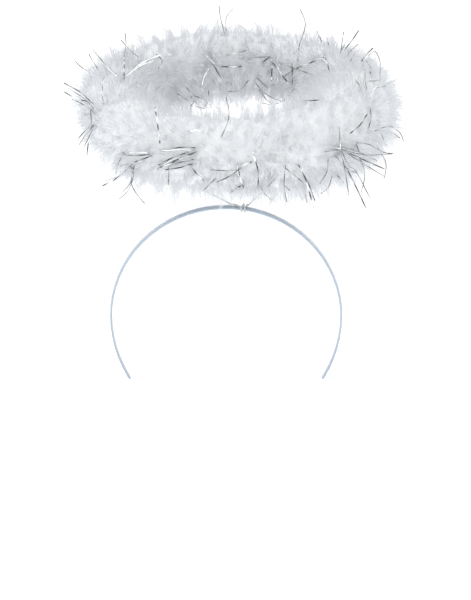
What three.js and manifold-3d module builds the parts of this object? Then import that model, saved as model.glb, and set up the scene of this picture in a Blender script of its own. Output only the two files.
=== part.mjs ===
// Halo headband: a plastic headband, a thin wire whose middle is wound round the top of it and
// whose two legs rise in a V, and a wire ring that they carry, wrapped in a down feather boa. The
// halo floats over the crown, its front lower than its back.
//
// Millimetres, +Z up, the wearer faces -Y. The origin is the middle of the band's inner face at
// the top of its arch, where it sits on the head.
import * as THREE from "three";
import { mergeVertices } from "three/addons/utils/BufferGeometryUtils.js";
import Module from "manifold-3d";

const { degToRad, lerp, radToDeg } = THREE.MathUtils;

// Headband. The upper half of its arch is half a circle, and its sides curve in below that.
const bandInnerRadius = 82;
const bandSideDrop = 47; // from the widest place down to the ends
const bandEndInset = 13; // how far the sides come in by then
const bandWidth = 8.5; // at the top
const bandEndWidth = 6;
const bandThickness = 1.8;
const bandCrown = 0.35; // how far the middle of the outer face stands over its edges
const bandEdgeRadius = 0.6;
const bandLean = degToRad(19); // the top of the arch leans forward
const bandSections = 46;

// Halo
const ringRadius = 90;
const ringWireRadius = 1;
const ringTilt = degToRad(27); // the front is lower than the back
const ringForward = 23; // from the top of the arch to the front of the ring wire
const ringAside = 7.4; // the halo floats a little towards +X
const haloClearance = 8.5; // from the origin up to the tips of the down at the front
const ringSegments = 54;
const boaRadius = 27.5; // from the ring wire to the tips of the down
const boaBackingShare = 0.8; // the dense middle of the down, as a share of boaRadius
const boaColumns = 156; // points of the down's surface round the ring, a multiple of 3
const boaRows = 24; // and round its tube, a multiple of 3
const lockReachSpread = 0.16; // between the shortest and the longest lock, a share of boaRadius
const lockLean = 0.8; // how far a tip may lean, as a share of the space between two points
const clumpSwell = 0.04; // how much the down swells where it clumps, as a share of boaRadius

// Support wire
const wireRadius = 0.6;
const boundAt = 10; // along the band, from the top of the arch to where the turns begin
const bandTurns = 2;
const bandTurnPitch = 2.6;
const wireAlongBand = 7.4; // how far the left leg lies along the band before the turns
const ringTurns = 2; // of each leg round the ring wire
const ringTurnPitch = 1.7;
const gap = 0.3; // between pieces that touch

// The two legs. attachDegrees is measured round the ring from its front. bow is how far a leg
// stands over a straight line, as a share of its length, at bowAt of the way up.
const legs = {
  left: { side: -1, attachDegrees: 50, bowAt: 0.36, bow: -0.05 },
  right: { side: 1, attachDegrees: 44, bowAt: 0.25, bow: 0.03 },
};

// The boa's form round the ring, from the front towards +X. reach is a share of boaRadius. sag is
// how far the down hangs below the ring wire there, also as a share of boaRadius.
const boaForm = [
  { degrees: 0, reach: 0.96, sag: 0.0 },
  { degrees: 30, reach: 1.0, sag: 0.06 },
  { degrees: 60, reach: 0.98, sag: 0.03 },
  { degrees: 90, reach: 0.96, sag: 0.0 },
  { degrees: 120, reach: 0.98, sag: 0.0 },
  { degrees: 150, reach: 0.9, sag: 0.03 },
  { degrees: 180, reach: 0.97, sag: 0.0 },
  { degrees: 210, reach: 0.98, sag: 0.0 },
  { degrees: 240, reach: 0.95, sag: 0.0 },
  { degrees: 270, reach: 0.98, sag: 0.0 },
  { degrees: 300, reach: 1.0, sag: 0.06 },
  { degrees: 330, reach: 0.98, sag: 0.06 },
];

const wasm = await Module();
wasm.setup();

const xAxis = new THREE.Vector3(1, 0, 0);
const yAxis = new THREE.Vector3(0, 1, 0);

const down = new THREE.MeshStandardMaterial({ color: 0xe4e9ee, roughness: 0.95 });
const whitePlastic = new THREE.MeshStandardMaterial({ color: 0xf2f5f8, roughness: 0.35 });
const coatedWire = new THREE.MeshStandardMaterial({ color: 0xdcdad6, roughness: 0.45 });
const bareWire = new THREE.MeshStandardMaterial({ color: 0xb4b6b8, roughness: 0.4, metalness: 1 });

// A closed geometry as a solid that can be joined and cut.
function solidOf(geometry) {
  const plain = new THREE.BufferGeometry();
  plain.setAttribute("position", geometry.getAttribute("position"));
  plain.setIndex(geometry.getIndex());
  const merged = mergeVertices(plain, 1e-4);
  return new wasm.Manifold(
    new wasm.Mesh({
      numProp: 3,
      vertProperties: merged.getAttribute("position").array,
      triVerts: new Uint32Array(merged.getIndex().array),
    }),
  );
}

function geometryOf(solid) {
  const mesh = solid.getMesh();
  const geometry = new THREE.BufferGeometry();
  geometry.setAttribute("position", new THREE.BufferAttribute(mesh.vertProperties, mesh.numProp));
  geometry.setIndex(new THREE.BufferAttribute(mesh.triVerts, 1));
  geometry.computeVertexNormals();
  return geometry;
}

// Moves each point of a geometry to where place puts it, from its old position and its index.
function reshape(geometry, place) {
  const position = geometry.getAttribute("position");
  const point = new THREE.Vector3();
  for (let i = 0; i < position.count; i++) {
    const { x, y, z } = place(point.fromBufferAttribute(position, i), i);
    position.setXYZ(i, x, y, z);
  }
  geometry.computeVertexNormals();
  return geometry;
}

// A path whose samples are the points it was given, so that tight bends keep theirs.
class WirePath extends THREE.CatmullRomCurve3 {
  getUtoTmapping(u) {
    return u;
  }
}

function wireGeometry(points, radius) {
  const section = new THREE.Shape().absarc(0, 0, radius, 0, 2 * Math.PI);
  return new THREE.ExtrudeGeometry(section, {
    steps: points.length - 1,
    curveSegments: 3,
    extrudePath: new WirePath(points),
  });
}

// The arch of the inner face. A side is an arc that leaves the half circle upright.
const sideRadius = (bandSideDrop ** 2 + bandEndInset ** 2) / (2 * bandEndInset);
const topLength = (bandInnerRadius * Math.PI) / 2;
const sideLength = sideRadius * Math.asin(bandSideDrop / sideRadius);
const bandHalfLength = topLength + sideLength;

// A place on the band: arc is measured along the inner face from the top, across from the middle
// of the band's width, and height from the inner face.
function onBand(arc, across, height) {
  const side = Math.sign(arc) || 1;
  const beyondTop = Math.max(Math.abs(arc) - topLength, 0);
  const turn = (Math.abs(arc) - beyondTop) / bandInnerRadius + beyondTop / sideRadius;
  const radius = beyondTop > 0 ? sideRadius : bandInnerRadius;
  const point = new THREE.Vector3(
    side * (bandInnerRadius - radius + (radius + height) * Math.sin(turn)),
    across,
    (radius + height) * Math.cos(turn) - bandInnerRadius,
  );
  return point.applyAxisAngle(xAxis, bandLean);
}

function bandWidthAt(arc) {
  return lerp(bandWidth, bandEndWidth, (Math.abs(arc) / bandHalfLength) ** 2);
}

// The band's section: a flat inner face, rounded edges and a crowned outer face.
function bandSection() {
  const quarter = Math.PI / 2;
  const shoulder = bandThickness - bandCrown;
  const edge = Math.min(bandEdgeRadius, 0.45 * shoulder);
  const flat = bandWidth / 2 - edge;
  const crownRadius = (flat ** 2 + bandCrown ** 2) / (2 * bandCrown);
  const crownTurn = Math.asin(flat / crownRadius);
  const outline = new THREE.Shape();
  outline.moveTo(-flat, 0);
  outline.absarc(flat, edge, edge, -quarter, 0);
  outline.absarc(flat, shoulder - edge, edge, 0, quarter);
  outline.absarc(
    0,
    bandThickness - crownRadius,
    crownRadius,
    quarter - crownTurn,
    quarter + crownTurn,
  );
  outline.absarc(-flat, shoulder - edge, edge, quarter, 2 * quarter);
  outline.absarc(-flat, edge, edge, 2 * quarter, 3 * quarter);
  return outline;
}

// Where the band's sections lie and how wide each is. Towards each end, the widths follow half a
// circle.
function bandStations() {
  const round = bandEndWidth / 2;
  const straight = bandHalfLength - round;
  const end = [0.4, 0.7, 0.9, 1].map((share) => ({
    arc: straight + round * share,
    width: bandEndWidth * Math.max(Math.sqrt(1 - share ** 2), 0.3),
  }));
  const middle = Array.from({ length: bandSections }, (_, section) => {
    const arc = lerp(-straight, straight, section / (bandSections - 1));
    return { arc, width: bandWidthAt(arc) };
  });
  const otherEnd = end.map(({ arc, width }) => ({ arc: -arc, width })).reverse();
  return [...otherEnd, ...middle, ...end];
}

// A straight bar with one step from each station to the next, laid along the arch.
function headbandGeometry() {
  const stations = bandStations();
  const steps = stations.length - 1;
  const bar = new THREE.ExtrudeGeometry(bandSection(), {
    depth: steps,
    steps,
    curveSegments: 1,
    bevelEnabled: false,
  });
  return reshape(bar, ({ x, y, z }) => {
    const { arc, width } = stations[Math.round(z)];
    return onBand(arc, (x * width) / bandWidth, y);
  });
}

const ringMiddle = new THREE.Vector3(
  ringAside,
  ringRadius * Math.cos(ringTilt) - ringForward,
  ringRadius * Math.sin(ringTilt) + haloClearance + boaRadius,
);

// A place near the ring wire: angle runs round the ring from its front towards +X, and turn
// round the wire from outwards to upwards.
function nearRing(angle, turn, distance) {
  const flat = ringRadius + distance * Math.cos(turn);
  return new THREE.Vector3(
    flat * Math.sin(angle),
    -flat * Math.cos(angle),
    distance * Math.sin(turn),
  )
    .applyAxisAngle(xAxis, ringTilt)
    .add(ringMiddle);
}

function alongRing(angle) {
  return new THREE.Vector3(Math.cos(angle), Math.sin(angle), 0).applyAxisAngle(xAxis, ringTilt);
}

// The wire's turns round the band: along its faces, and round each edge in two steps.
function turnsRoundBand() {
  const stand = gap + wireRadius;
  const edges = [
    { across: -1, height: 1, degrees: 90 },
    { across: -1, height: 0, degrees: 180 },
    { across: 1, height: 0, degrees: 270 },
    { across: 1, height: 1, degrees: 360 },
  ];
  const points = [];
  for (let edge = 0; edge < bandTurns * edges.length; edge++) {
    const { across, height, degrees } = edges[edge % edges.length];
    for (let step = 0; step <= 2; step++) {
      const angle = degToRad(degrees + step * 45);
      const arc = boundAt + (bandTurnPitch * (edge + step / 3)) / edges.length;
      points.push(
        onBand(
          arc,
          (across * bandWidthAt(arc)) / 2 + stand * Math.cos(angle),
          height * bandThickness + stand * Math.sin(angle),
        ),
      );
    }
  }
  return points;
}

// A leg's turns round the ring wire, away from the ring's front.
function turnsRoundRing({ side, attachDegrees }) {
  const stand = ringWireRadius + gap + wireRadius;
  const stepsPerTurn = 8;
  const fromBelow = -Math.PI / 2;
  return Array.from({ length: ringTurns * stepsPerTurn + 1 }, (_, step) => {
    const turn = step / stepsPerTurn;
    const angle = side * (degToRad(attachDegrees) + (turn * ringTurnPitch) / ringRadius);
    return nearRing(angle, fromBelow + 2 * Math.PI * turn, stand);
  });
}

// The free stretch of a leg, from the band up to the ring.
function legRise(leg, foot) {
  const head = turnsRoundRing(leg)[0];
  const bowed = foot.clone().lerp(head, leg.bowAt);
  bowed.z += leg.bow * foot.distanceTo(head);
  return new THREE.CatmullRomCurve3([foot, bowed, head]).getSpacedPoints(14);
}

const onBandTop = bandThickness + gap + wireRadius;
const leftRise = legRise(legs.left, onBand(boundAt - wireAlongBand, 0, onBandTop + wireRadius));
const rightRise = legRise(
  legs.right,
  onBand(boundAt + bandTurns * bandTurnPitch, 0, onBandTop + wireRadius),
);

// One wire from its turns at the left of the ring, down to the band, along it and round it, and
// up to its turns at the right of the ring.
function supportWireGeometry() {
  const points = [
    ...turnsRoundRing(legs.left).slice(1).reverse(),
    ...leftRise.toReversed(),
    onBand(boundAt - wireAlongBand / 2, 0, onBandTop),
    ...turnsRoundBand(),
    ...rightRise,
    ...turnsRoundRing(legs.right).slice(1),
  ];
  return wireGeometry(points, wireRadius);
}

// The boa's form at an angle round the ring, between two rows of the table.
function formAt(angle) {
  const degrees = (radToDeg(angle) + 360) % 360;
  const low = boaForm.findLast((row) => row.degrees <= degrees);
  const high = boaForm.find((row) => row.degrees > degrees) ?? boaForm[0];
  const share = (degrees - low.degrees) / ((high.degrees - low.degrees + 360) % 360);
  return { reach: lerp(low.reach, high.reach, share), sag: lerp(low.sag, high.sag, share) };
}

// A place in the down: depth is 0 at the ring wire and 1 at the tips.
function inDown(angle, turn, depth) {
  const { reach, sag } = formAt(angle);
  const point = nearRing(angle, turn, boaRadius * reach * depth);
  point.z -= boaRadius * sag * depth;
  return point;
}

// A scattered number from -0.5 to 0.5 for each index and kind.
function scatter(index, kind) {
  const wave = Math.sin(index * 12.9898 + kind * 78.233) * 43758.5453;
  return wave - Math.floor(wave) - 0.5;
}

// How far the down swells or sinks where its plumes clump together.
function clumpAt(angle, turn) {
  return clumpSwell * (Math.sin(9 * angle + 2 * turn) + Math.sin(16 * angle - 3 * turn + 1));
}

// The down, a tube round the ring whose surface is drawn out into locks. Every third point, in a
// pattern of triangles, is the tip of a lock, and the points between are the dense down at its
// foot.
function downGeometry() {
  const tube = new THREE.TorusGeometry(ringRadius, boaRadius, boaRows, boaColumns);
  return reshape(tube, (_, index) => {
    const column = (index % (boaColumns + 1)) % boaColumns;
    const row = Math.floor(index / (boaColumns + 1)) % boaRows;
    const lock = row * boaColumns + column;
    const isTip = (row + column) % 3 === 0;
    const lean = isTip ? 2 * lockLean : 0;
    const angle = (2 * Math.PI * (column + lean * scatter(lock, 1))) / boaColumns;
    const turn = (2 * Math.PI * (row + lean * scatter(lock, 2))) / boaRows;
    const depth = isTip ? 1 + lockReachSpread * scatter(lock, 3) : boaBackingShare;
    return inDown(angle, turn, depth + clumpAt(angle, turn));
  });
}

// The space that wires take up inside the boa: the ring wire, each leg and its turns.
function wireChannels() {
  const ring = new THREE.TorusGeometry(ringRadius, ringWireRadius + gap, 6, ringSegments);
  ring.rotateX(ringTilt).translate(ringMiddle.x, ringMiddle.y, ringMiddle.z);
  const turnsLength = ringTurnPitch * ringTurns + 2 * (wireRadius + gap);
  const turnsRadius = ringWireRadius + 2 * (gap + wireRadius) + gap;
  const turns = Object.values(legs).map(({ side, attachDegrees }) => {
    const halfway = (ringTurnPitch * ringTurns) / 2 / ringRadius;
    const angle = side * (degToRad(attachDegrees) + halfway);
    const upright = new THREE.Quaternion().setFromUnitVectors(yAxis, alongRing(angle));
    const middle = nearRing(angle, 0, 0);
    return new THREE.CylinderGeometry(turnsRadius, turnsRadius, turnsLength, 8)
      .applyQuaternion(upright)
      .translate(middle.x, middle.y, middle.z);
  });
  const rises = [leftRise, rightRise].map((points) => wireGeometry(points, wireRadius + gap));
  return [ring, ...turns, ...rises].map(solidOf);
}

function featherBoaGeometry() {
  return geometryOf(solidOf(downGeometry()).subtract(wasm.Manifold.union(wireChannels())));
}

function named(name, geometry, material) {
  const mesh = new THREE.Mesh(geometry, material);
  mesh.name = name;
  return mesh;
}

const ringWire = named(
  "ring_wire",
  new THREE.TorusGeometry(ringRadius, ringWireRadius, 6, ringSegments),
  bareWire,
);
ringWire.position.copy(ringMiddle);
ringWire.rotation.x = ringTilt;

const halo = new THREE.Group();
halo.add(named("headband", headbandGeometry(), whitePlastic));
halo.add(named("support_wire", supportWireGeometry(), coatedWire));
halo.add(ringWire);
halo.add(named("feather_boa", featherBoaGeometry(), down));

export default halo;
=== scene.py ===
"""Costume halo on a headband: marabou down round a wire ring, silver tinsel among the down, a thin coated
wire that carries the ring, and a moulded headband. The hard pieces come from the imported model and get
their finishes here. The down and the tinsel are made here.

Metres, +Z up as worn, and the front is -Y. The origin is the middle of the headband's inner face at
the top of its arch.
"""

import bpy
import numpy as np
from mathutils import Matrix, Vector


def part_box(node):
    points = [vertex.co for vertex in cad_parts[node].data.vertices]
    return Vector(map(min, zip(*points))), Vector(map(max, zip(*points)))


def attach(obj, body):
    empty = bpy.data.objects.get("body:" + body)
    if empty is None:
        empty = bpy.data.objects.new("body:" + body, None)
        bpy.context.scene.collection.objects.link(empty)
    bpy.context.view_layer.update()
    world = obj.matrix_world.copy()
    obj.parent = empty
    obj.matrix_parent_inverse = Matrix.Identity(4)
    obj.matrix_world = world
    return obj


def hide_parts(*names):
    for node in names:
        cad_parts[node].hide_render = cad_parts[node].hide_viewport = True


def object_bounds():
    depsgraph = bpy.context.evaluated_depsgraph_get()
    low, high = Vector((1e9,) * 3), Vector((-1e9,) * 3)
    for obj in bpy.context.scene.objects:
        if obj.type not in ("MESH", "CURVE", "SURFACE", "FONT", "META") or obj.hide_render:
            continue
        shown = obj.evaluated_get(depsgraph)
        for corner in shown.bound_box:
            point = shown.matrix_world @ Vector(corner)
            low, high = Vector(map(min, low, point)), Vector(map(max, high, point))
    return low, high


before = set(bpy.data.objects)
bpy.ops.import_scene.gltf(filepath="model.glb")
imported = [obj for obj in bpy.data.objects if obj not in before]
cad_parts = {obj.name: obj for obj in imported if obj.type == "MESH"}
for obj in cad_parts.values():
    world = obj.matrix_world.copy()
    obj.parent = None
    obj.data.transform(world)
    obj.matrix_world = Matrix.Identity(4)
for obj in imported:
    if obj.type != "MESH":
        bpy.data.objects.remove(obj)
CAD_BOX = [list(corner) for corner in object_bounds()]

bl_info = {
    "name": "Halo Headband",
    "version": (1, 0, 0),
    "blender": (4, 5, 0),
    "location": "View3D > Sidebar > Halo",
    "description": "Makes the down, the tinsel, the finishes and the stage of a costume halo",
    "category": "Object",
}

MM = 0.001

# The ring wire says where the halo is: its middle, its radius and how far it tilts.
WIRE_LOW, WIRE_HIGH = (np.array(corner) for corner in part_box("ring_wire"))
RING_WIRE_RADIUS = 1 * MM
RING_MIDDLE = (WIRE_LOW + WIRE_HIGH) / 2
RING_SPAN = (WIRE_HIGH - WIRE_LOW) / 2 - RING_WIRE_RADIUS
RING_RADIUS = float(RING_SPAN[0])
RING_TILT = float(np.arctan2(RING_SPAN[2], RING_SPAN[1]))

# The down's form round the ring, from the front towards +X: degrees, then as shares of the down's
# radius its reach, how far it hangs below the ring wire, and how much further it reaches inwards.
DOWN_FORM = np.array([
    (0, 0.95, 0.0, 0.06), (25, 0.97, 0.02, 0.2), (50, 1.0, 0.0, 0.36), (75, 0.98, -0.04, 0.34),
    (90, 0.94, -0.02, 0.34), (115, 0.9, 0.0, 0.24), (140, 0.9, 0.0, 0.0), (160, 0.85, -0.03, 0.0),
    (180, 0.95, 0.0, 0.0), (210, 0.95, 0.03, 0.0), (235, 0.9, 0.03, 0.06), (255, 0.9, -0.08, 0.14),
    (270, 0.88, -0.14, 0.2), (290, 0.9, -0.13, 0.16), (315, 0.94, 0.02, 0.06), (340, 0.96, 0.0, 0.0),
    (360, 0.95, 0.0, 0.06),
])
DOWN_SECTORS = ("front", "front_right", "back_right", "back", "back_left", "front_left")

# The camera: its place, its focal length in picture points, and the middle of the picture.
EYE = np.array([6.7, -1545, -65.2]) * MM
FOCAL = 2183
PICTURE = np.array([471, 600])
SENSOR = 36

# The stage: its softboxes and their places, how wide and high each is, and the way to its shaded side.
SOFTBOXES = (
    ("softbox left", (-1.1, -0.9, 1.5)), ("softbox right", (1.2, -0.7, 1.3)),
    ("softbox top", (0.1, 0.2, 2.0)), ("softbox front", (-0.2, -0.6, 1.9)),
    ("softbox back left", (-1.0, 1.4, 1.2)), ("softbox back right", (1.1, 1.3, 1.3)),
)
SOFTBOX_SIDE = 0.3
SHADED_WAY = (0.4, -0.9, -0.1)

# How far inside the down the picture's strands of tinsel start, how far over its surface they lie, and
# how far apart the points of any strand are.
STRAND_ROOT = 9 * MM
STRAND_LIFT = 4 * MM
STRAND_STEP = 2.2 * MM

# Kinds of tinsel strand, d for dark, w for white, m for mixed and g for thin and grey: its width in mm,
# the two values that its painted shade swings between, where 0 is dark and 1 white, and over how many mm.
# The shade is a painted reflection: white where film would mirror a lamp, dark for the rest of a room.
STRAND_KINDS = {
    "d": (0.8, 0.0, 0.4, 11), "w": (1.0, 0.85, 1.0, 16), "m": (0.9, 0.05, 1.0, 13),
    "g": (0.6, 0.1, 0.45, 15),
}

# Tinsel strands that the picture shows: the kind, and picture points from where each leaves the down.
# A free strand ends in the air and a laid one dips back into the down.
FREE_STRANDS = (
    ("d", (92, 103), (80, 92), (64, 83)), ("m", (85, 101), (73, 97), (63, 91)),
    ("g", (93, 108), (82, 97), (68, 88)), ("g", (95, 114), (86, 106), (72, 99)),
    ("g", (92, 127), (84, 137), (79, 145)), ("g", (88, 128), (82, 134), (78, 139)),
    ("g", (91, 133), (87, 141), (84, 147)), ("d", (88, 145), (87, 155)),
    ("g", (116, 74), (105, 64), (93, 50)), ("g", (97, 68), (92, 60), (89, 54)),
    ("g", (87, 71), (80, 66), (75, 61)), ("g", (92, 80), (88.6, 70), (87.5, 59.5)),
    ("g", (125.5, 50), (126, 42), (125, 33)), ("g", (137, 56), (128, 48), (121, 40)),
    ("d", (147, 154.8), (135, 155.4), (124, 154.8)), ("w", (146, 152.6), (136, 153.3), (128, 153)),
    ("d", (149.6, 156.4), (143, 159), (120.6, 166)), ("g", (123, 155), (118.5, 163), (115.6, 173.8)),
    ("d", (131, 165), (124, 172), (113, 181)), ("m", (114, 180), (108, 183), (102.3, 186)),
    ("g", (134, 168.3), (131.7, 183), (127, 192), (118.7, 199.3)), ("g", (114, 178), (104.2, 181.3)),
    ("g", (133, 169), (131.7, 184.4), (136.3, 193.6), (144.7, 203.5)),
    ("g", (131, 167), (131, 182), (122.6, 192)),
    ("g", (168.7, 170), (168.5, 178), (168.7, 184.6)),
    ("g", (224, 31), (220.5, 18), (219, 6)), ("g", (226, 29), (227, 16), (233, 9)),
    ("g", (298, 59), (299, 47), (305, 21), (300, 9)),
    ("g", (222, 135.6), (228.8, 117), (228.8, 109), (226, 97)),
    ("g", (187.6, 88.7), (191.1, 93.9), (198.4, 97.4), (207, 100.4)), ("g", (178, 94), (188.6, 101)),
    ("g", (195.8, 102.5), (198.4, 106), (201, 110.3)), ("g", (199.3, 107.3), (204.4, 108.5)),
    ("g", (192, 98.2), (193.7, 101.7), (190.2, 106.8)), ("g", (208.7, 93), (208.3, 101.7), (204.4, 106.8)),
    ("g", (172.6, 103.4), (177.7, 112.9), (177.3, 118)), ("g", (281, 101.7), (287, 97.4), (294, 88.7)),
    ("g", (263.8, 103.4), (271.6, 104.7), (278.5, 103)), ("g", (298.3, 93.9), (294.8, 98.2), (286.2, 109.4)),
    ("g", (261, 91.6), (265, 98), (272, 104)),
    ("g", (291, 95.4), (299, 103), (305.4, 112.6)),
    ("d", (341, 51), (348, 38), (354, 27)), ("d", (346, 48), (353, 39), (359, 30)),
    ("g", (341, 52), (342.4, 40), (343.6, 32)), ("g", (348, 55), (353, 49), (358, 44)),
    ("g", (351, 60), (355.8, 51.7)), ("g", (328, 43), (326.7, 36.4)), ("g", (321, 40), (316.8, 31.1)),
    ("d", (361, 62), (367, 54), (373, 48)), ("g", (380.3, 87.3), (385.7, 86.2)),
    ("g", (370.4, 81), (376.5, 80.8), (380, 73), (379, 58), (374.9, 51.4), (368, 55.6)),
    ("g", (394.7, 128.7), (400.4, 133.4), (404, 142.4)), ("g", (375.6, 130.7), (385.7, 126.7), (393, 127)),
    ("g", (382.3, 136), (386, 145.5)), ("g", (394.4, 134), (399.8, 138)),
    ("d", (340, 148.6), (362, 159), (384.4, 169)), ("d", (348, 148), (363, 154), (377, 160.6)),
    ("g", (341, 149), (347, 163), (357, 173), (370, 198)), ("g", (340, 148.6), (366, 155), (392, 154)),
    ("g", (340, 148.6), (364, 164), (385, 177)), ("g", (341, 151.5), (344.6, 168), (348.8, 195.4)),
    ("g", (358, 143), (368.7, 144.4), (386, 153), (393.5, 153.5)),
    ("g", (378, 148), (386, 164), (384.4, 178.8)),
    ("g", (360.4, 159.8), (364.5, 169.7), (363.7, 183), (361.2, 192)),
    ("d", (348.8, 172.6), (358, 191), (365.8, 207.8)), ("g", (336.8, 157.5), (345.5, 167), (355.5, 173)),
    ("m", (299, 165.6), (305.7, 179.7), (313.5, 207.9)), ("d", (301.5, 171.4), (309, 185), (315, 201)),
    ("g", (287.3, 169.6), (295, 176), (302, 181.6), (304.5, 190), (307, 203)),
    ("g", (285.3, 168), (284.5, 189.6), (287, 202)), ("g", (328, 161.5), (327.4, 170.2), (319.8, 183.6)),
    ("g", (331.4, 178), (328, 188), (320.6, 193.8)), ("g", (262, 189), (266, 195), (272, 200)),
    ("g", (286.6, 187.2), (290, 190.7)), ("g", (338.8, 177), (343.5, 182.3)),
)
LAID_STRANDS = (
    ("g", (90.7, 112.5), (91.6, 124)), ("m", (103.6, 79), (102.5, 89), (103, 101)),
    ("m", (124.5, 55), (124.4, 64), (124, 76)), ("w", (107, 67), (112, 72), (117, 76)),
    ("w", (130, 72), (148, 60), (158, 56)), ("w", (126, 76), (142, 65), (152, 61)),
    ("d", (149.5, 60.2), (144, 64), (138.5, 68.3)), ("g", (137.7, 62.8), (129.7, 72.7)),
    ("g", (158, 56), (162, 60), (159, 67)), ("w", (170, 55.5), (178, 60)),
    ("d", (168.7, 149.8), (180, 147.4), (192.7, 147.7)), ("w", (162, 151), (176, 150), (190, 150)),
    ("d", (159.6, 168), (172.8, 161.4), (194.4, 152.7)), ("d", (160.4, 163.9), (172, 158), (185.3, 153)),
    ("m", (161, 167), (174, 162), (186, 156)), ("d", (167.8, 169.3), (178, 168), (189.4, 164.7)),
    ("d", (177, 163), (191, 160)), ("w", (163, 165), (176, 158), (189, 156)),
    ("m", (192.7, 169), (196, 173), (201, 178)), ("w", (161, 96), (158, 104), (156, 110)),
    ("d", (162, 94), (160.5, 98)),
    ("m", (155.4, 110), (157.9, 126.6), (159.6, 140.7)), ("m", (138, 86), (142, 83.5), (147, 81.5)),
    ("w", (208, 57), (211, 60), (214, 63)), ("w", (214, 57), (217, 60), (220, 63)),
    ("d", (215, 67), (217, 71), (219, 74.4)), ("m", (222, 66.7), (231, 66.9), (239, 66.7)),
    ("w", (208.7, 69.6), (204, 77), (202.5, 84)), ("m", (229.6, 54.7), (238, 53), (246.4, 50.2)),
    ("g", (247, 82), (240, 90), (230.7, 91.6)), ("g", (255.6, 83), (265, 93.5), (280.5, 101), (291, 93)),
    ("d", (307, 100.7), (316.4, 100.2)), ("w", (192, 131), (196, 130), (200, 131)),
    ("m", (271, 60), (279, 71), (288, 83)), ("m", (272, 67.7), (271.6, 78)),
    ("g", (258.7, 79.3), (264.7, 85.3)), ("g", (251, 58.6), (257, 57.3), (265.6, 56.9)),
    ("d", (264.5, 61), (267.5, 58.5)), ("w", (279.3, 66.4), (277.6, 73.2), (278, 79.3)),
    ("g", (286.2, 75), (292.3, 70.7), (297.4, 68.5)), ("g", (366.5, 61), (370.4, 67), (370.4, 73)),
    ("g", (365, 71.6), (365.4, 80), (366.5, 89)), ("d", (357, 82), (358.5, 84)),
    ("g", (356.9, 145.5), (358.9, 151.5)), ("g", (339.5, 130), (340, 140)),
    ("g", (280.5, 63), (296, 69), (312, 74.4)), ("m", (294, 69), (310, 63), (322, 58)),
    ("d", (292, 66), (292.4, 81)), ("m", (324, 55), (328, 66), (332, 81)),
    ("w", (318, 57), (323, 59), (328, 65)), ("w", (334, 98), (338, 92), (344, 90)),
    ("w", (371, 96), (373, 91), (376, 87)), ("d", (366, 116), (360, 125), (352, 132)),
    ("d", (370.7, 111), (371, 119), (369, 126)), ("w", (340, 141.5), (340, 149)),
    ("g", (327, 151.5), (336, 150)), ("w", (336, 148), (344, 149.5)),
    ("w", (275.8, 159), (273, 167), (271.7, 175.5)), ("g", (274, 180), (270, 185)),
    ("w", (253.4, 154), (255, 160)), ("d", (256, 162), (258.5, 174), (258, 184.4)),
    ("m", (238.6, 169.6), (240, 178), (243, 186)),
    ("d", (219.6, 181), (230, 176), (238.6, 169.6)), ("m", (238.6, 169.6), (244, 165), (249, 163)),
    ("g", (214, 170), (226, 170.6), (236, 170)), ("d", (205, 189), (210, 184), (214, 180)),
    ("d", (270, 184), (273, 181)), ("d", (233.6, 190.3), (239, 186.8)),
    ("w", (238, 168), (238.5, 174)),
)


def linear(hex_colour):
    """An sRGB hex colour as linear red, green and blue with an alpha of 1."""
    share = np.array([int(hex_colour[place : place + 2], 16) for place in (0, 2, 4)]) / 255
    light = np.where(share <= 0.04045, share / 12.92, ((share + 0.055) / 1.055) ** 2.4)
    return (*light.tolist(), 1.0)


def colour(name, description, hex_colour):
    """A colour setting whose default is an sRGB hex colour."""
    return bpy.props.FloatVectorProperty(
        name=name, description=description, subtype="COLOR", size=4, min=0, max=1, default=linear(hex_colour)
    )


def length(name, description, default):
    """A length setting in metres."""
    return bpy.props.FloatProperty(
        name=name, description=description, default=default, min=0, unit="LENGTH", precision=5
    )


class DownSettings(bpy.types.PropertyGroup):
    reach: length("Reach", "From the ring wire to the tips of the down", 27.5 * MM)
    backing: bpy.props.FloatProperty(
        name="Matted share", description="The matted down under the locks, as a share of the reach",
        default=0.88, min=0.3, max=0.95, subtype="FACTOR",
    )
    locks: bpy.props.IntProperty(name="Locks", description="Short locks of down", default=14000, min=6)
    tufts: bpy.props.IntProperty(name="Tufts", description="Long pointed locks", default=1500, min=6)
    wisps: bpy.props.IntProperty(name="Wisps", description="Long loose barbs", default=1600, min=0)
    barb_width: length("Barb width", "A short barb's width at its foot, barbules included", 0.26 * MM)
    tuft_width: length("Tuft barb width", "The same in a tuft, where barbs cling together", 0.4 * MM)
    wisp_width: length("Wisp width", "A loose barb's width at its foot", 0.4 * MM)
    # Tips and Feet are painted light and shade: the feet are painted lighter to offset the shade deep in the
    # down, and the tips painted greyer where they stand out fully lit.
    light: colour("Tips", "The down's colour at the tips of tufts", "CCD0D6")
    shade: colour("Feet", "The down's colour at its feet", "EEF0F2")
    matted: colour("Matted", "The down's colour where it is matted", "E8EAEC")
    matted_plumes: colour("Matted plumes", "The other white of the matted down", "EAECEE")


class TinselSettings(bpy.types.PropertyGroup):
    thickness: length("Thickness", "A strand's thickness, coarser than the real film's", 0.12 * MM)
    hidden_side: bpy.props.IntProperty(
        name="Strands behind", description="Strands on the sides that the picture doesn't show",
        default=110, min=0,
    )
    # Dark and Flash are painted reflections: the film is painted dark where it would mirror a dark room, and
    # white where it would mirror a lamp.
    dark: colour("Dark", "The film where it mirrors a dark room", "2E3135")
    painted_flash: colour("Flash", "The film where it mirrors a lamp", "FCFDFE")


class BandSettings(bpy.types.PropertyGroup):
    plastic: colour("Plastic", "The headband's plastic", "B0BCC8")
    hollow: colour("Flow", "The plastic where its flow runs thin", "A4B2C0")
    coating: colour("Coating", "The coating of the thin wire", "C8C9CA")
    thin_coating: colour("Thin coating", "The coating where it is thin", "B9BABC")
    steel: colour("Steel", "The bare ring wire", "BDBFC1")
    dull_steel: colour("Dull steel", "The ring wire where it is dull", "A5A7AA")


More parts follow.
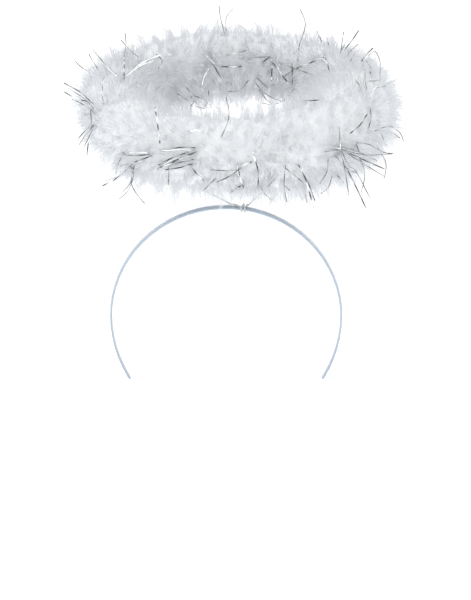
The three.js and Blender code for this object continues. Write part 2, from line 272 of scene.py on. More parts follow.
class StageSettings(bpy.types.PropertyGroup):
    floor_radius: length("Floor radius", "From the middle of the floor to its edge", 20.0)
    # The floor under the halo is painted a little greyer than the far floor: painted shade under the halo.
    floor: colour("Floor", "The floor under the halo", "F6F6F7")
    far_floor: colour("Far floor", "The floor away from it", "FFFFFF")
    glow: bpy.props.FloatProperty(
        name="Floor's glow", description="How bright the light from under the floor is", default=0.45, min=0
    )
    sky: bpy.props.FloatProperty(
        name="Surrounding light", description="How bright the white surroundings are", default=1.17, min=0
    )
    lamps: bpy.props.FloatProperty(
        name="Softboxes", description="How bright each softbox is", default=1.8, min=0
    )
    shaded_side: bpy.props.FloatProperty(
        name="Shaded side", description="The surroundings' brightness to the front right, as a share",
        default=0.35, min=0, max=1, subtype="FACTOR",
    )
    top_fill: bpy.props.FloatProperty(
        name="Overhead fill", description="How bright the wide softbox overhead is", default=1.4, min=0
    )
    back_fill: bpy.props.FloatProperty(
        name="Back fill", description="How bright the wide softbox behind is", default=0.5, min=0
    )


def settings(name):
    """One of the scene's groups of settings."""
    return getattr(bpy.context.scene, name)


# Places in the down


def near_ring(angle, turn, distance):
    """Goes along the ring by angle, from its front towards +X, then distance away from the wire, where
    turn runs from outwards to upwards, and tilts the whole about the ring's middle."""
    flat = RING_RADIUS + distance * np.cos(turn)
    ahead, up = -flat * np.cos(angle), distance * np.sin(turn)
    tilted = (
        flat * np.sin(angle),
        ahead * np.cos(RING_TILT) - up * np.sin(RING_TILT),
        ahead * np.sin(RING_TILT) + up * np.cos(RING_TILT),
    )
    return np.stack(tilted, -1) + RING_MIDDLE


def in_down(angle, turn, depth):
    """A place near the ring at depth times the local reach of the down, lowered by depth times its
    local sag. Reach, sag and inward growth are read between the rows of DOWN_FORM. The growth counts
    in full towards the halo's hole and not at all away from it."""
    degrees = np.degrees(angle) % 360
    outward, sag, inward = (np.interp(degrees, DOWN_FORM[:, 0], column) for column in DOWN_FORM.T[1:])
    reach = settings("halo_down").reach * depth
    place = near_ring(angle, turn, reach * (outward + inward * (1 - np.cos(turn)) / 2))
    place[..., 2] -= reach * sag
    return place


def clump_at(angle, turn):
    """How far the down swells where its plumes clump: two waves that cross on the tube, each 0.015 of
    the down's radius high."""
    return 0.015 * (np.sin(9 * angle + 2 * turn) + np.sin(16 * angle - 3 * turn + 1))


# Meshes


def unit(vectors):
    """Vectors of length 1 in the same directions."""
    return vectors / np.maximum(np.linalg.norm(vectors, axis=-1, keepdims=True), 1e-12)


def halves(quads):
    """Each four-cornered face as two triangles."""
    return np.concatenate([quads[:, [0, 1, 2]], quads[:, [0, 2, 3]]])


def grid_faces(rows, columns):
    """The faces of a grid of points that closes on itself both ways."""
    row, column = (part.ravel() for part in np.mgrid[:rows, :columns])
    row_after, column_after = (row + 1) % rows, (column + 1) % columns
    corners = [(row, column), (row_after, column), (row_after, column_after), (row, column_after)]
    return np.stack([r * columns + c for r, c in corners], -1)


def piece(name, points, faces, material, slot=None, shade=None, smooth=True):
    """A mesh object from an array of points and one of faces that have the same number of corners. With
    a slot it rides on the body, and without one it is left unattached. Shade is kept as a value of
    each point."""
    mesh = bpy.data.meshes.new(name)
    mesh.vertices.add(len(points))
    mesh.vertices.foreach_set("co", np.ascontiguousarray(points, np.float32).ravel())
    mesh.loops.add(faces.size)
    mesh.loops.foreach_set("vertex_index", np.ascontiguousarray(faces, np.int32).ravel())
    mesh.polygons.add(len(faces))
    mesh.polygons.foreach_set("loop_start", np.arange(len(faces), dtype=np.int32) * faces.shape[1])
    mesh.polygons.foreach_set("use_smooth", np.full(len(faces), smooth))
    if shade is not None:
        mesh.attributes.new("shade", "FLOAT", "POINT").data.foreach_set(
            "value", np.ascontiguousarray(shade, np.float32).ravel()
        )
    mesh.update(calc_edges=True)
    if mesh.validate():
        raise RuntimeError(f"{name} has faces that are not sound")
    mesh.materials.append(material)
    made = bpy.data.objects.new(name, mesh)
    bpy.context.collection.objects.link(made)
    if slot is None:
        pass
    else:
        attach(made, "root")
    return made


def swept(paths, across, sides, pointed):
    """Closed strands. paths holds the points of each strand, across a direction that each strand's
    section leans to, and sides the section's corners as two offsets, for each point of a strand. A
    section stands square to the path, whose direction is that from the point before to the point
    after. A pointed strand ends in its last point and any other in a flat face. Returns points by
    strand and the faces of one strand."""
    count, rings, _ = paths.shape
    along = unit(np.gradient(paths, axis=1))
    first = unit(np.cross(along, across))
    second = np.cross(along, first)
    corners = sides.shape[-2]
    body = paths[:, :, None] + sides[..., :1] * first[:, :, None] + sides[..., 1:] * second[:, :, None]
    if pointed:
        points = np.concatenate([body[:, :-1].reshape(count, -1, 3), paths[:, -1:]], axis=1)
        rings -= 1
    else:
        points = body.reshape(count, -1, 3)
    ring, corner = (part.ravel() for part in np.mgrid[: rings - 1, :corners])
    after = (corner + 1) % corners
    quads = np.stack([ring * corners + corner, ring * corners + after], -1)
    wall = halves(np.concatenate([quads, quads[:, ::-1] + corners], axis=1))
    last = corners * (rings - 1)
    fan = np.arange(1, corners - 1)
    foot = np.stack([np.zeros_like(fan), fan + 1, fan], -1)
    if pointed:
        turn = np.arange(corners)
        head = np.stack([last + turn, last + (turn + 1) % corners, np.full(corners, last + corners)], -1)
    else:
        head = foot[:, ::-1] + last
    return points, np.concatenate([wall, foot, head])


def barb_piece(name, points, faces, material, shade):
    """Many barbs that have the same faces, as one piece that stands for the packed down. They are too
    thin for rounded shading, so their faces stay flat."""
    starts = np.arange(len(points))[:, None, None] * points.shape[1]
    made = piece(
        name, points.reshape(-1, 3), (faces[None] + starts).reshape(-1, 3), material, "down", shade,
        smooth=False,
    )
    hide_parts("feather_boa")


# Materials


def add(tree, kind, inputs=None, **choices):
    """Adds a node, makes its choices, and gives each named input a value or a link."""
    node = tree.nodes.new(kind)
    for name, value in choices.items():
        setattr(node, name, value)
    for name, value in (inputs or {}).items():
        if isinstance(value, bpy.types.NodeSocket):
            tree.links.new(value, node.inputs[name])
        else:
            node.inputs[name].default_value = value
    return node


def new_material(name):
    """A material with an empty tree and its output node."""
    material = bpy.data.materials.new(name)
    material.use_nodes = True
    tree = material.node_tree
    tree.nodes.clear()
    return material, tree, add(tree, "ShaderNodeOutputMaterial")


def between(tree, share, first, second):
    """The colour that lies at share between two colours. Each may be a socket or a value."""
    mix = add(tree, "ShaderNodeMix", {0: share, 6: first, 7: second}, data_type="RGBA")
    return mix.outputs[2]


def pattern(tree, size, detail=2.0, stretch=(1, 1, 1)):
    """Noise on the piece's own coordinates, with lumps of that size in metres."""
    place = add(tree, "ShaderNodeTexCoord").outputs["Object"]
    spread = add(tree, "ShaderNodeMapping", {"Vector": place, "Scale": stretch})
    noise = {"Vector": spread.outputs[0], "Scale": 1 / size, "Detail": detail}
    return add(tree, "ShaderNodeTexNoise", noise).outputs[0]


def down_material(name, thin):
    """Turkey marabou down, washed, bleached and dyed white. Its barbs are so fine that they let light
    through and scatter it, so the eye sees a soft white with no gloss and only weak shadows. The broad
    sheen here stands for that scattering. A thin barb is thick with barbules at its foot and bare at
    its tip. Its colour is painted light and shade: lighter at its foot, deep in the down, to offset the
    shade there, and greyer at its tip, where it is fully lit. Plumes about 14 mm across differ a little
    in their white."""
    material, tree, output = new_material(name)
    down = settings("halo_down")
    plumes = pattern(tree, 14 * MM)
    if thin:
        along = add(tree, "ShaderNodeAttribute", attribute_name="shade").outputs["Fac"]
        differ = add(tree, "ShaderNodeMapRange", {"Value": plumes, "To Min": 0.9, "To Max": 1.1})
        share = add(tree, "ShaderNodeMath", {0: differ.outputs[0], 1: along}, operation="MULTIPLY")
        # The shade value runs from foot to tip: painted lighter feet against the shade deep in the down, and
        # painted greyer tips where they are fully lit.
        white = between(tree, share.outputs[0], down.shade, down.light)
    else:
        white = between(tree, plumes, down.matted, down.matted_plumes)
    face = add(
        tree, "ShaderNodeBsdfPrincipled",
        {"Base Color": white, "Roughness": 0.9, "Specular IOR Level": 0.2, "Sheen Weight": 0.7,
         "Sheen Roughness": 0.8},
    )
    if not thin:
        nap = add(
            tree, "ShaderNodeBump",
            {"Height": pattern(tree, 0.8 * MM, 4.0), "Distance": 0.4 * MM, "Strength": 0.5},
        )
        tree.links.new(nap.outputs[0], face.inputs["Normal"])
    tree.links.new(face.outputs[0], output.inputs[0])
    return material


def tinsel_material():
    """Aluminised polyester film, slit into strands. It is flat metal with a mirror's gloss that fine
    rubbing has dulled a little. The studio here is white all round, so its colour carries a painted
    reflection: each point's shade says how much of a dark room the film would mirror there."""
    material, tree, output = new_material("aluminised film, slit")
    tinsel = settings("halo_tinsel")
    painted_reflection_share = add(tree, "ShaderNodeAttribute", attribute_name="shade").outputs["Fac"]
    rubbed = pattern(tree, 1.5 * MM, 3.0)
    # The film's colour is a painted reflection: dark where it would mirror a dark room, white where it would
    # mirror a lamp.
    film_painted_reflection = between(tree, painted_reflection_share, tinsel.dark, tinsel.painted_flash)
    grain = add(tree, "ShaderNodeMapRange", {"Value": rubbed, "To Min": 0.12, "To Max": 0.26})
    crinkle = add(
        tree, "ShaderNodeBump", {"Height": pattern(tree, 2.5 * MM), "Distance": 0.05 * MM, "Strength": 0.6}
    )
    film = add(
        tree, "ShaderNodeBsdfPrincipled",
        {"Base Color": film_painted_reflection, "Metallic": 1.0, "Roughness": grain.outputs[0],
         "Normal": crinkle.outputs[0]},
    )
    tree.links.new(film.outputs[0], output.inputs[0])
    return material


def hard_material(name, base, other, lump, rough, waves, metallic=0.0, stretch=(1, 1, 1)):
    """A moulded, coated or drawn surface: two shades that a slow pattern of that lump mixes, a gloss
    that varies between two values of rough, and waves in the surface, given as width and height."""
    material, tree, output = new_material(name)
    shade = between(tree, pattern(tree, lump, stretch=stretch), base, other)
    wave = pattern(tree, waves[0], 3.0, stretch)
    gloss = add(tree, "ShaderNodeMapRange", {"Value": wave, "To Min": rough[0], "To Max": rough[1]})
    relief = add(tree, "ShaderNodeBump", {"Height": wave, "Distance": waves[1], "Strength": 0.5})
    surface = add(
        tree, "ShaderNodeBsdfPrincipled",
        {"Base Color": shade, "Metallic": metallic, "Roughness": gloss.outputs[0],
         "Normal": relief.outputs[0]},
    )
    tree.links.new(surface.outputs[0], output.inputs[0])
    return material


def dress(node, material):
    """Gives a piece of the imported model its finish."""
    for material_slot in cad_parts[node].material_slots:
        material_slot.material = material


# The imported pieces


class HALO_OT_band(bpy.types.Operator):
    """Gives the headband its moulded plastic: white polystyrene with a satin gloss, whose weak flow
    lines and moulding waves break up the light along its edge. Its tone is greyer and bluer than such
    plastic by itself, so that it shows against white surroundings."""

    bl_idname = "halo.band"
    bl_label = "Headband"

    def execute(self, context):
        band = settings("halo_band")
        dress("headband", hard_material(
            "moulded white polystyrene", band.plastic, band.hollow, 9 * MM, (0.24, 0.38),
            (3 * MM, 0.06 * MM), stretch=(1, 1, 0.5),
        ))
        return {"FINISHED"}


class HALO_OT_wires(bpy.types.Operator):
    """Gives the thin wire its white coating, which is a little uneven, and the ring wire bare drawn
    steel."""

    bl_idname = "halo.wires"
    bl_label = "Wires"

    def execute(self, context):
        band = settings("halo_band")
        dress("support_wire", hard_material(
            "white coated steel wire", band.coating, band.thin_coating, 4 * MM, (0.35, 0.5),
            (1.2 * MM, 0.04 * MM),
        ))
        dress("ring_wire", hard_material(
            "drawn steel wire", band.steel, band.dull_steel, 3 * MM, (0.3, 0.45),
            (0.5 * MM, 0.02 * MM), metallic=1.0,
        ))
        return {"FINISHED"}


# The down


class HALO_OT_matted_down(bpy.types.Operator):
    """Makes the matted down under the plumes: a tube round the ring wire, at a steady share of the
    down's reach, that swells in clumps."""

    bl_idname = "halo.matted_down"
    bl_label = "Matted down"

    def execute(self, context):
        around, across = 260, 44
        angle, turn = np.meshgrid(
            np.linspace(0, 2 * np.pi, around, endpoint=False),
            np.linspace(0, 2 * np.pi, across, endpoint=False), indexing="ij",
        )
        depth = settings("halo_down").backing + clump_at(angle, turn)
        core = piece(
            "matted_down", in_down(angle, turn, depth).reshape(-1, 3), grid_faces(around, across),
            down_material("marabou down, matted", thin=False), "down",
        )
        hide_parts("feather_boa")
        return {"FINISHED"}


def barb_paths(rng, foot, tip, steps, spread, droop):
    """Curved paths from foot to tip, each an array of angle, turn and depth. A barb rises out of the
    down first and leans over later: its place along and round the tube goes as its share of length to
    the power 1.6, its depth as one less the rest of its length to the power 1.5. A bow of half a sine
    wave is added, any way round, and the barb sinks by droop times the square of the share."""
    share = np.linspace(0, 1, steps + 1)[:, None]
    lean, rise = share**1.6, 1 - (1 - share) ** 1.5
    angle, turn, depth = (end - start for start, end in zip(foot, tip))
    path = in_down(foot[0] + lean * angle, foot[1] + lean * turn, foot[2] + rise * depth)
    bow = rng.normal(0, spread, (1, len(foot[0]), 3)) * np.sin(np.pi * share)[..., None]
    path = path + bow
    path[..., 2] -= droop * share**2
    return path.transpose(1, 0, 2)


def tapered(width, steps):
    """The three corners of a barb's section at each of its points. Its width falls from its foot to a
    half of that at its tip."""
    corner = 2 * np.pi * np.arange(3) / 3
    radius = width / 2 * np.linspace(1, 0.5, steps + 1)[:, None]
    return np.stack([radius * np.cos(corner), radius * np.sin(corner)], -1)


def spread_evenly(count):
    """Angles round the ring and turns round the tube that cover it evenly. Each next place is a fixed
    share of both rounds on, by shares that never meet again: one over 1.3247, whose cube is itself plus
    one, and that share squared. The turns crowd towards the outer side, where a part of the tube is
    longer, by a quarter of their sine."""
    shares = [0.7548776662, 0.5698402910]
    angle, turn = 2 * np.pi * ((0.5 + np.outer(shares, np.arange(count))) % 1)
    return angle, turn - 0.25 * np.sin(turn)


def wave_field(rng, angle, turn):
    """A smooth field over the tube with a spread of about 1: eight waves whose numbers of crests round
    the ring and round the tube are whole, so that it closes."""
    crests = rng.integers((3, -2), (13, 3), (8, 2))
    start = 2 * np.pi * rng.random(8)
    return 0.5 * np.sin(np.outer(angle, crests[:, 0]) + np.outer(turn, crests[:, 1]) + start).sum(axis=1)


def grow(rng, places, reach, lean, barbs, apart, width, steps):
    """The barbs of locks whose places are given as angles and turns. A lock's barbs start and end apart
    by those two spreads, from deep in the matted down to where its reach and its lean in metres put
    its tip. Metres become angles at 0.8 of the down's radius, except that a tip's go round the tube at
    its own reach. Returns points by barb, the faces of one barb, and the barbs' angles."""
    down = settings("halo_down")
    angle, turn, reach = (np.repeat(part, barbs) for part in (*places, reach))
    lean = np.repeat(lean, barbs, axis=1)
    count = len(angle)
    root = rng.normal(0, apart[0], (2, count))
    tip = lean - root + rng.normal(0, apart[1], (2, count))
    reach = reach + rng.normal(0, 0.02, count) + clump_at(angle, turn)
    radius = 0.8 * down.reach
    girth = RING_RADIUS + radius * np.cos(turn)
    foot = (angle + root[0] / girth, turn + root[1] / radius, rng.uniform(0.7, 0.8, count))
    end = (foot[0] + tip[0] / girth, foot[1] + tip[1] / (reach * down.reach), reach)
    paths = barb_paths(rng, foot, end, steps, 0.5 * MM, 1.2 * MM)
    points, faces = swept(paths, rng.normal(0, 1, (count, 1, 3)), tapered(width, steps), pointed=True)
    return points, faces, angle


def barb_shade(rng, points, steps, foot, tip, spread):
    """A value for each point of each barb: it goes evenly from its foot to its tip, and differs by that
    spread from barb to barb."""
    # Low values pick the lighter feet and high ones the greyer tips: painted light deep in the down and
    # painted shade on the fully lit tips. The spread from barb to barb is tone that differs at random.
    tone = np.clip(rng.normal(1.0, spread, (len(points), 1)), 0, 1.5)
    return tone * np.append(np.repeat(np.linspace(foot, tip, steps + 1)[:-1], 3), tip)


class HALO_OT_locks(bpy.types.Operator):
    """Makes the short locks of down that cover it evenly. A lock reaches to 0.955 of the down's radius,
    a little more or less by a smooth field, as its neighbours belong to the same plume, and further by
    a gamma spread, at most to 1.25. It leans mostly in a way of its own."""

    bl_idname = "halo.locks"
    bl_label = "Locks of down"

    def execute(self, context):
        down = settings("halo_down")
        rng = np.random.default_rng(7)
        material = down_material("marabou down, barbs", thin=True)
        angle, turn = spread_evenly(down.locks)
        lean = np.stack([wave_field(rng, angle, turn) for _ in range(2)]) * 0.5 * MM
        lean += rng.normal(0, 2.4 * MM, lean.shape)
        reach = 0.955 + 0.008 * wave_field(rng, angle, turn) + rng.gamma(2.0, 0.024, down.locks)
        points, faces, barb_angle = grow(
            rng, (angle, turn), np.minimum(reach, 1.25), lean, barbs=10, apart=(1.2 * MM, 1.3 * MM),
            width=down.barb_width, steps=1,
        )
        shade = barb_shade(rng, points, steps=1, foot=0.1, tip=0.35, spread=0.1)
        sector = np.floor((barb_angle / (2 * np.pi) * len(DOWN_SECTORS) + 0.5) % len(DOWN_SECTORS))
        for number, name in enumerate(DOWN_SECTORS):
            here = sector == number
            barb_piece(f"down_{name}", points[here], faces, material, shade[here])
        return {"FINISHED"}


class HALO_OT_tufts(bpy.types.Operator):
    """Makes the long pointed locks that fringe the down. A tuft reaches beyond 1.12 of the down's
    radius by a gamma spread, which is up to 1.4 times as much underneath, and at most to 1.5. Its lean
    is as much its plume's as its own."""

    bl_idname = "halo.tufts"
    bl_label = "Tufts"

    def execute(self, context):
        down = settings("halo_down")
        rng = np.random.default_rng(23)
        angle, turn = spread_evenly(down.tufts)
        lean = np.stack([wave_field(rng, angle, turn) for _ in range(2)]) * 2 * MM
        lean += rng.normal(0, 2 * MM, lean.shape)
        underneath = np.clip(-np.sin(turn - RING_TILT * np.cos(angle)), 0, 1)
        reach = 1.12 + rng.gamma(2.0, 0.072, down.tufts) * (1 + 0.4 * underneath)
        points, faces, _ = grow(
            rng, (angle, turn), np.minimum(reach, 1.5), lean, barbs=11, apart=(2.2 * MM, 0.1 * MM),
            width=down.tuft_width, steps=2,
        )
        shade = barb_shade(rng, points, steps=2, foot=0.1, tip=1.0, spread=0.1)
        barb_piece("tufts", points, faces, bpy.data.materials["marabou down, barbs"], shade)
        return {"FINISHED"}


class HALO_OT_wisps(bpy.types.Operator):
    """Makes the loose barbs: single long thin ones that stand out beyond the plumes. Four in ten are
    gathered on the underside, where they hang. A barb reaches beyond 1.04 of the down's radius by an
    exponential spread, by 0.04 more where it hangs, and at most to 1.28."""

    bl_idname = "halo.wisps"
    bl_label = "Wisps"

    def execute(self, context):
        down = settings("halo_down")
        rng = np.random.default_rng(11)
        count, steps = down.wisps, 5
        angle = 2 * np.pi * rng.random(count)
        turn = 2 * np.pi * rng.random(count)
        hanging = rng.random(count) < 0.4
        turn = np.where(hanging, -np.pi / 2 + RING_TILT * np.cos(angle) + rng.normal(0, 0.5, count), turn)
        depth = 1.04 + rng.exponential(0.07, count) + 0.04 * hanging
        tip = (
            angle + rng.normal(0, 7 * MM, count) / RING_RADIUS,
            turn + rng.normal(0, 6 * MM, count) / down.reach, np.minimum(depth, 1.28),
        )
        droop = np.where(hanging, 2.5, 1.5) * MM
        paths = barb_paths(rng, (angle, turn, np.full(count, 0.66)), tip, steps, 1.2 * MM, droop)
        points, faces = swept(
            paths, rng.normal(0, 1, (count, 1, 3)), tapered(down.wisp_width, steps), pointed=True
        )
        shade = barb_shade(rng, points, steps, foot=0.3, tip=1.0, spread=0.1)
        barb_piece("wisps", points, faces, bpy.data.materials["marabou down, barbs"], shade)
        return {"FINISHED"}


# The tinsel


def seen_at(point, depth):
    """Where the line of sight through a picture point meets the upright plane at that depth: the
    point's offset from the picture's middle grows in step with the distance over the focal length."""
    share = (depth - EYE[1]) / FOCAL
    right, rise = (np.asarray(point) - PICTURE / 2) * share
    return np.array([EYE[0] + right, depth, EYE[2] - rise])


def picture_points(places):
    """Where the picture shows places: their offsets from the camera to the right and downwards, times
    the focal length over their distance, from the picture's middle."""
    scale = FOCAL / (places[..., 1] - EYE[1])
    offsets = [(places[..., 0] - EYE[0]) * scale, (EYE[2] - places[..., 2]) * scale]
    return np.stack(offsets, -1) + PICTURE / 2


class DownSurface:
    """The down's surface as a grid of places round the ring and round the tube, with the picture point
    of each."""

    # How many places there are each way, how many picture points away a place still shows at a point,
    # and how far apart two depths may be to count as one.
    grid = (600, 90)
    point_reach = 2.5
    depth_reach = 25 * MM

    def __init__(self):
        around, across = (1j * count for count in self.grid)
        self.angle, self.turn = (
            part.ravel() for part in np.mgrid[0 : 2 * np.pi : around, 0 : 2 * np.pi : across]
        )
        self.place = in_down(self.angle, self.turn, 1 + clump_at(self.angle, self.turn))
        self.seen = picture_points(self.place)

    def under(self, point, near=None):
        """The foremost place of the surface that shows at a picture point, as its number, or the one
        that shows nearest to it if there is none. Where near is given, only places at about that depth
        count, and it is None if there are none."""
        away = np.linalg.norm(self.seen - point, axis=1)
        shown = away < self.point_reach
        if near is not None:
            shown &= np.abs(self.place[:, 1] - near) < self.depth_reach
        if shown.any():
            return int(np.flatnonzero(shown)[np.argmin(self.place[shown, 1])])
        return int(np.argmin(away)) if near is None else None

    def covers(self, place):
        """Whether the down hides a place from the picture: 6 mm or more in front of it there is down
        at 4 picture points from it to each of four sides, give or take 2 points."""
        away = self.seen[self.place[:, 1] < place[1] - 6 * MM] - picture_points(place)
        sides = ((4, 0), (-4, 0), (0, 4), (0, -4))
        return all((np.abs(away - side).max(axis=1) < 2).any() for side in sides)


def smoothed(knots, step):
    """A curve through knots, at even steps. Between two knots it is a cubic whose slopes there are
    those from the knot before to the knot after."""
    knots = np.asarray(knots)
    gaps = np.linalg.norm(np.diff(knots, axis=0), axis=1)
    at = np.append(0, np.cumsum(gaps))
    slope = np.gradient(knots, at, axis=0)
    want = np.linspace(0, at[-1], max(int(round(at[-1] / step)), 3) + 1)
    low = np.clip(np.searchsorted(at, want, side="right") - 1, 0, len(gaps) - 1)
    span = gaps[low][:, None]
    t = (want - at[low])[:, None] / span
    start, end = knots[low], knots[low + 1]
    return (
        (2 * t**3 - 3 * t**2 + 1) * start + (t**3 - 2 * t**2 + t) * span * slope[low]
        + (3 * t**2 - 2 * t**3) * end + (t**3 - t**2) * span * slope[low + 1]
    )


def beyond(before, last):
    """The picture point 3 points further on, in line with two points."""
    last = np.asarray(last, float)
    return last + 3 * unit(last - before)


def shown_strand(rng, surface, points, free):
    """The knots of a strand of the picture. It starts inside the down and follows the picture's points
    just over the surface. Beyond the surface its depth changes in step with its length, by a lean of
    its own, and for a first point there the length is the gap to the last point. A laid strand goes
    back inside. An end inside the down lies along the line of sight, so the strand bends sharply where
    it comes out."""
    depth = surface.place[surface.under(points[0]), 1]
    knots = [seen_at(beyond(points[1], points[0]), depth + STRAND_ROOT)]
    lean = rng.normal(0, 0.12)
    for place, point in enumerate(points):
        found = surface.under(point, depth)
        if found is not None:
            depth = surface.place[found, 1]
            knots.append(seen_at(point, depth - STRAND_LIFT))
        else:
            before = seen_at(points[place - 1], depth)
            depth += lean * np.linalg.norm(seen_at(point, depth) - before)
            knots.append(seen_at(point, depth))
    if not free:
        knots.append(seen_at(beyond(points[-2], points[-1]), depth + STRAND_ROOT))
    return knots


def hidden_strand(rng, surface):
    """The knots of a strand on a side that the picture hides: its foot is inside the down, and it runs
    over the surface or stands out from it, in a loose curve that stays out of the picture."""
    share = np.array([0.35, 0.7, 1.0])
    while True:
        number = rng.integers(len(surface.angle))
        angle, turn = surface.angle[number], surface.turn[number]
        run = rng.normal(0, 14 * MM, 2)
        rise = rng.uniform(0.02, 0.1) if rng.random() < 0.55 else rng.uniform(0.15, 0.5)
        along = angle + run[0] * share / RING_RADIUS
        round_tube = turn + run[1] * share**1.5 / settings("halo_down").reach
        knots = [in_down(angle, turn, 0.7), *in_down(along, round_tube, 1 + rise * share)]
        path = smoothed(knots, 4 * MM)
        if all(surface.covers(place) for place in path[len(path) // 4 :]):
            return knots


def ribbon(rng, kind, knots, thickness):
    """A flat strand through knots: its points, its faces and a shade for each point. Its section is
    rolled about its path, by a twist that grows evenly along it. Its shade, a painted reflection,
    follows a sine wave along it, 2.4 times as high as the gap between its kind's two values and cut
    off at both."""
    width, low, high, swing = STRAND_KINDS[kind]
    path = smoothed(knots, STRAND_STEP)
    rings = len(path)
    roll = rng.normal(0, 0.5) + rng.normal(0, 0.8) * np.linspace(-0.5, 0.5, rings)
    half = np.array([[1, 1], [-1, 1], [-1, -1], [1, -1]]) / 2
    flat = half * [width * MM, thickness]
    turned = np.stack([
        flat[:, 0] * np.cos(roll)[:, None] - flat[:, 1] * np.sin(roll)[:, None],
        flat[:, 0] * np.sin(roll)[:, None] + flat[:, 1] * np.cos(roll)[:, None],
    ], -1)
    points, faces = swept(path[None], np.array([0, -1.0, 0]), turned, pointed=False)
    run = STRAND_STEP * np.arange(rings)
    wave = np.sin(2 * np.pi * (run / (swing * MM) + rng.random()))
    # The painted reflection: dark and white stretches along the strand.
    shade = low + (high - low) * np.clip(0.5 + 1.2 * wave, 0, 1)
    return points[0], faces, np.repeat(shade, len(flat))


class HALO_OT_tinsel(bpy.types.Operator):
    """Makes the tinsel: flat strands that start inside the down. Those of the picture pass through its
    points at about the depth of the down they leave. The rest are scattered over the sides that it
    hides."""

    bl_idname = "halo.tinsel"
    bl_label = "Tinsel"

    def execute(self, context):
        tinsel = settings("halo_tinsel")
        rng = np.random.default_rng(3)
        surface = DownSurface()
        strands = [
            (kind, shown_strand(rng, surface, points, free))
            for table, free in ((FREE_STRANDS, True), (LAID_STRANDS, False))
            for kind, *points in table
        ]
        strands += [
            (rng.choice(list(STRAND_KINDS)), hidden_strand(rng, surface))
            for _ in range(tinsel.hidden_side)
        ]
        all_points, all_faces, all_shade, start = [], [], [], 0
        for kind, knots in strands:
            points, faces, shade = ribbon(rng, kind, knots, tinsel.thickness)
            all_points.append(points)
            all_faces.append(faces + start)
            all_shade.append(shade)
            start += len(points)
        piece(
            "tinsel", np.concatenate(all_points), np.concatenate(all_faces), tinsel_material(), "tinsel",
            np.concatenate(all_shade),
        )
        return {"FINISHED"}


# The stage


def floor_material(stage):
    """Opal acrylic that is lit from below. Its greyer white near the middle is painted shade under the
    halo, and goes over into the far floor's white, smoothly from 0.15 to 1.3 m away from the middle."""
    material, tree, output = new_material("opal acrylic floor, lit from below")
    place = add(tree, "ShaderNodeTexCoord").outputs["Object"]
    away = add(tree, "ShaderNodeVectorMath", {0: place, 1: (0, 0, CAD_BOX[0][2])}, operation="DISTANCE")
    fade = add(
        tree, "ShaderNodeMapRange", {"Value": away.outputs["Value"], "From Min": 0.15, "From Max": 1.3},
        interpolation_type="SMOOTHSTEP",
    )
    # Greyer near the middle: painted shade under the halo, fading out to the far floor's white.
    white = between(tree, fade.outputs[0], stage.floor, stage.far_floor)
    acrylic = add(
        tree, "ShaderNodeBsdfPrincipled",
        {"Base Color": white, "Roughness": 0.85, "Emission Color": linear("FFFFFF"),
         "Emission Strength": stage.glow},
    )
    tree.links.new(acrylic.outputs[0], output.inputs[0])
    return material


def make_floor(stage):
    """A round floor at the height of the part's lowest place, whose faces meet in its middle."""
    material = floor_material(stage)
    sides = 96
    number = np.arange(sides)
    turn = 2 * np.pi * number / sides
    rim = np.stack([np.cos(turn), np.sin(turn), np.zeros(sides)], -1) * stage.floor_radius
    points = np.concatenate([rim, np.zeros((1, 3))]) + [0, 0, CAD_BOX[0][2]]
    piece("floor", points, np.stack([number, (number + 1) % sides, np.full(sides, sides)], -1), material)


def make_surroundings(stage):
    """White surroundings. They are dimmed in step with the cosine between a direction and the way to
    the shaded side, from not at all at 0 to the shaded side's share at 1."""
    world = bpy.data.worlds.new("white studio")
    world.use_nodes = True
    tree = world.node_tree
    background = tree.nodes["Background"]
    background.inputs["Color"].default_value = linear("FFFFFF")
    aim = add(tree, "ShaderNodeTexCoord").outputs["Generated"]
    aside = add(tree, "ShaderNodeVectorMath", {0: aim, 1: SHADED_WAY}, operation="DOT_PRODUCT")
    dimmed = add(
        tree, "ShaderNodeMapRange",
        {"Value": aside.outputs["Value"], "To Min": stage.sky, "To Max": stage.shaded_side * stage.sky},
    )
    tree.links.new(dimmed.outputs[0], background.inputs["Strength"])
    bpy.context.scene.world = world


def make_camera():
    """The picture's camera, which is level and faces +Y."""
    lens = bpy.data.cameras.new("camera")
    lens.sensor_width, lens.lens = SENSOR, FOCAL * SENSOR / PICTURE[1]
    camera = bpy.data.objects.new("camera", lens)
    camera.location, camera.rotation_euler = EYE, (np.pi / 2, 0, 0)
    bpy.context.collection.objects.link(camera)
    bpy.context.scene.camera = camera


def softbox(name, place, width, height, radiance):
    """A lamp of that width and height that faces the middle of the halo."""
    lamp = bpy.data.lights.new(name, "AREA")
    lamp.shape = "RECTANGLE"
    lamp.size, lamp.size_y, lamp.energy = width, height, radiance * np.pi * width * height
    made = bpy.data.objects.new(name, lamp)
    made.location = place
    made.rotation_euler = (made.location - Vector(RING_MIDDLE)).to_track_quat("Z", "Y").to_euler()
    bpy.context.collection.objects.link(made)


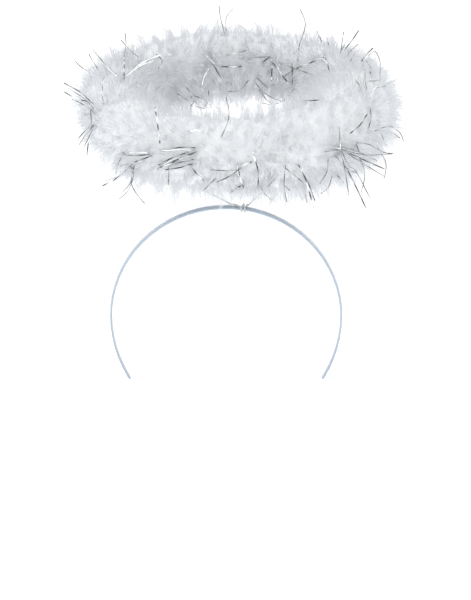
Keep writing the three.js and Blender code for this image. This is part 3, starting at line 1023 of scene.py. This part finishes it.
class HALO_OT_stage(bpy.types.Operator):
    """Makes the floor, the white surroundings, the softboxes and the camera."""

    bl_idname = "halo.stage"
    bl_label = "Stage"

    def execute(self, context):
        stage = settings("halo_stage")
        make_floor(stage)
        make_surroundings(stage)
        bpy.context.scene.view_settings.view_transform = "Standard"
        make_camera()
        for name, place in SOFTBOXES:
            softbox(name, place, SOFTBOX_SIDE, SOFTBOX_SIDE, stage.lamps)
        softbox("overhead fill", (0.0, -0.4, 2.2), width=2.4, height=1.2, radiance=stage.top_fill)
        softbox("back fill", (0.3, 2.0, 0.9), width=2.4, height=0.9, radiance=stage.back_fill)
        return {"FINISHED"}


# The add-on


class HALO_PT_panel(bpy.types.Panel):
    """Lists what the halo is made of."""

    bl_label = "Halo Headband"
    bl_idname = "HALO_PT_panel"
    bl_space_type = "VIEW_3D"
    bl_region_type = "UI"
    bl_category = "Halo"

    def draw(self, context):
        for name, group in GROUPS.items():
            box = self.layout.box()
            for setting in group.__annotations__:
                box.prop(getattr(context.scene, name), setting)
        for operator in OPERATORS:
            self.layout.operator(operator.bl_idname)


GROUPS = {
    "halo_down": DownSettings,
    "halo_tinsel": TinselSettings,
    "halo_band": BandSettings,
    "halo_stage": StageSettings,
}
OPERATORS = (
    HALO_OT_stage, HALO_OT_band, HALO_OT_wires, HALO_OT_matted_down, HALO_OT_locks, HALO_OT_tufts,
    HALO_OT_wisps, HALO_OT_tinsel,
)


def register():
    for name, group in GROUPS.items():
        bpy.utils.register_class(group)
        setattr(bpy.types.Scene, name, bpy.props.PointerProperty(type=group))
    for shown in (*OPERATORS, HALO_PT_panel):
        bpy.utils.register_class(shown)


def unregister():
    for shown in (HALO_PT_panel, *OPERATORS[::-1]):
        bpy.utils.unregister_class(shown)
    for name, group in GROUPS.items():
        delattr(bpy.types.Scene, name)
        bpy.utils.unregister_class(group)


def main():
    register()
    bpy.ops.halo.stage()
    bpy.ops.halo.band()
    bpy.ops.halo.wires()
    bpy.ops.halo.matted_down()
    bpy.ops.halo.locks()
    bpy.ops.halo.tufts()
    bpy.ops.halo.wisps()
    bpy.ops.halo.tinsel()


if __name__ == "__main__":
    main()
